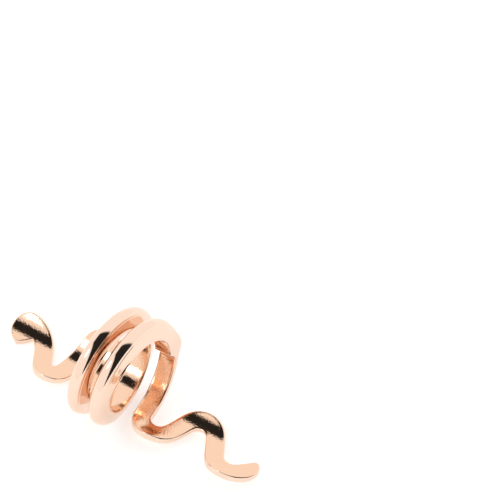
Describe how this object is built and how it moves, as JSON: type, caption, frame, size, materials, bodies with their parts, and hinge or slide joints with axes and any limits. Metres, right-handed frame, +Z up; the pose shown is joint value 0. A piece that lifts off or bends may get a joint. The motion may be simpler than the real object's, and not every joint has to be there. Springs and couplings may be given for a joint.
{
  "type": "braid hair ring",
  "caption": "Rose-gold metal coil that grips a braid, its ends drawn out into flat wavy tails, one narrow and one with a broad round end.",
  "frame": {"origin": "centre of the ring's bounding box, on the surface it lies on", "axes": "+X along the coil from the broad tail to the narrow tail (the coil's axis rises 1.35 degrees towards +X as the ring lies), +Z up, +Y across the coil"},
  "size_m": [0.0328, 0.0132, 0.0131],
  "materials": {
    "rose_gold": "polished"
  },
  "bodies": {
    "root": {"hair_ring": "rose_gold"}
  },
  "joints": []
}
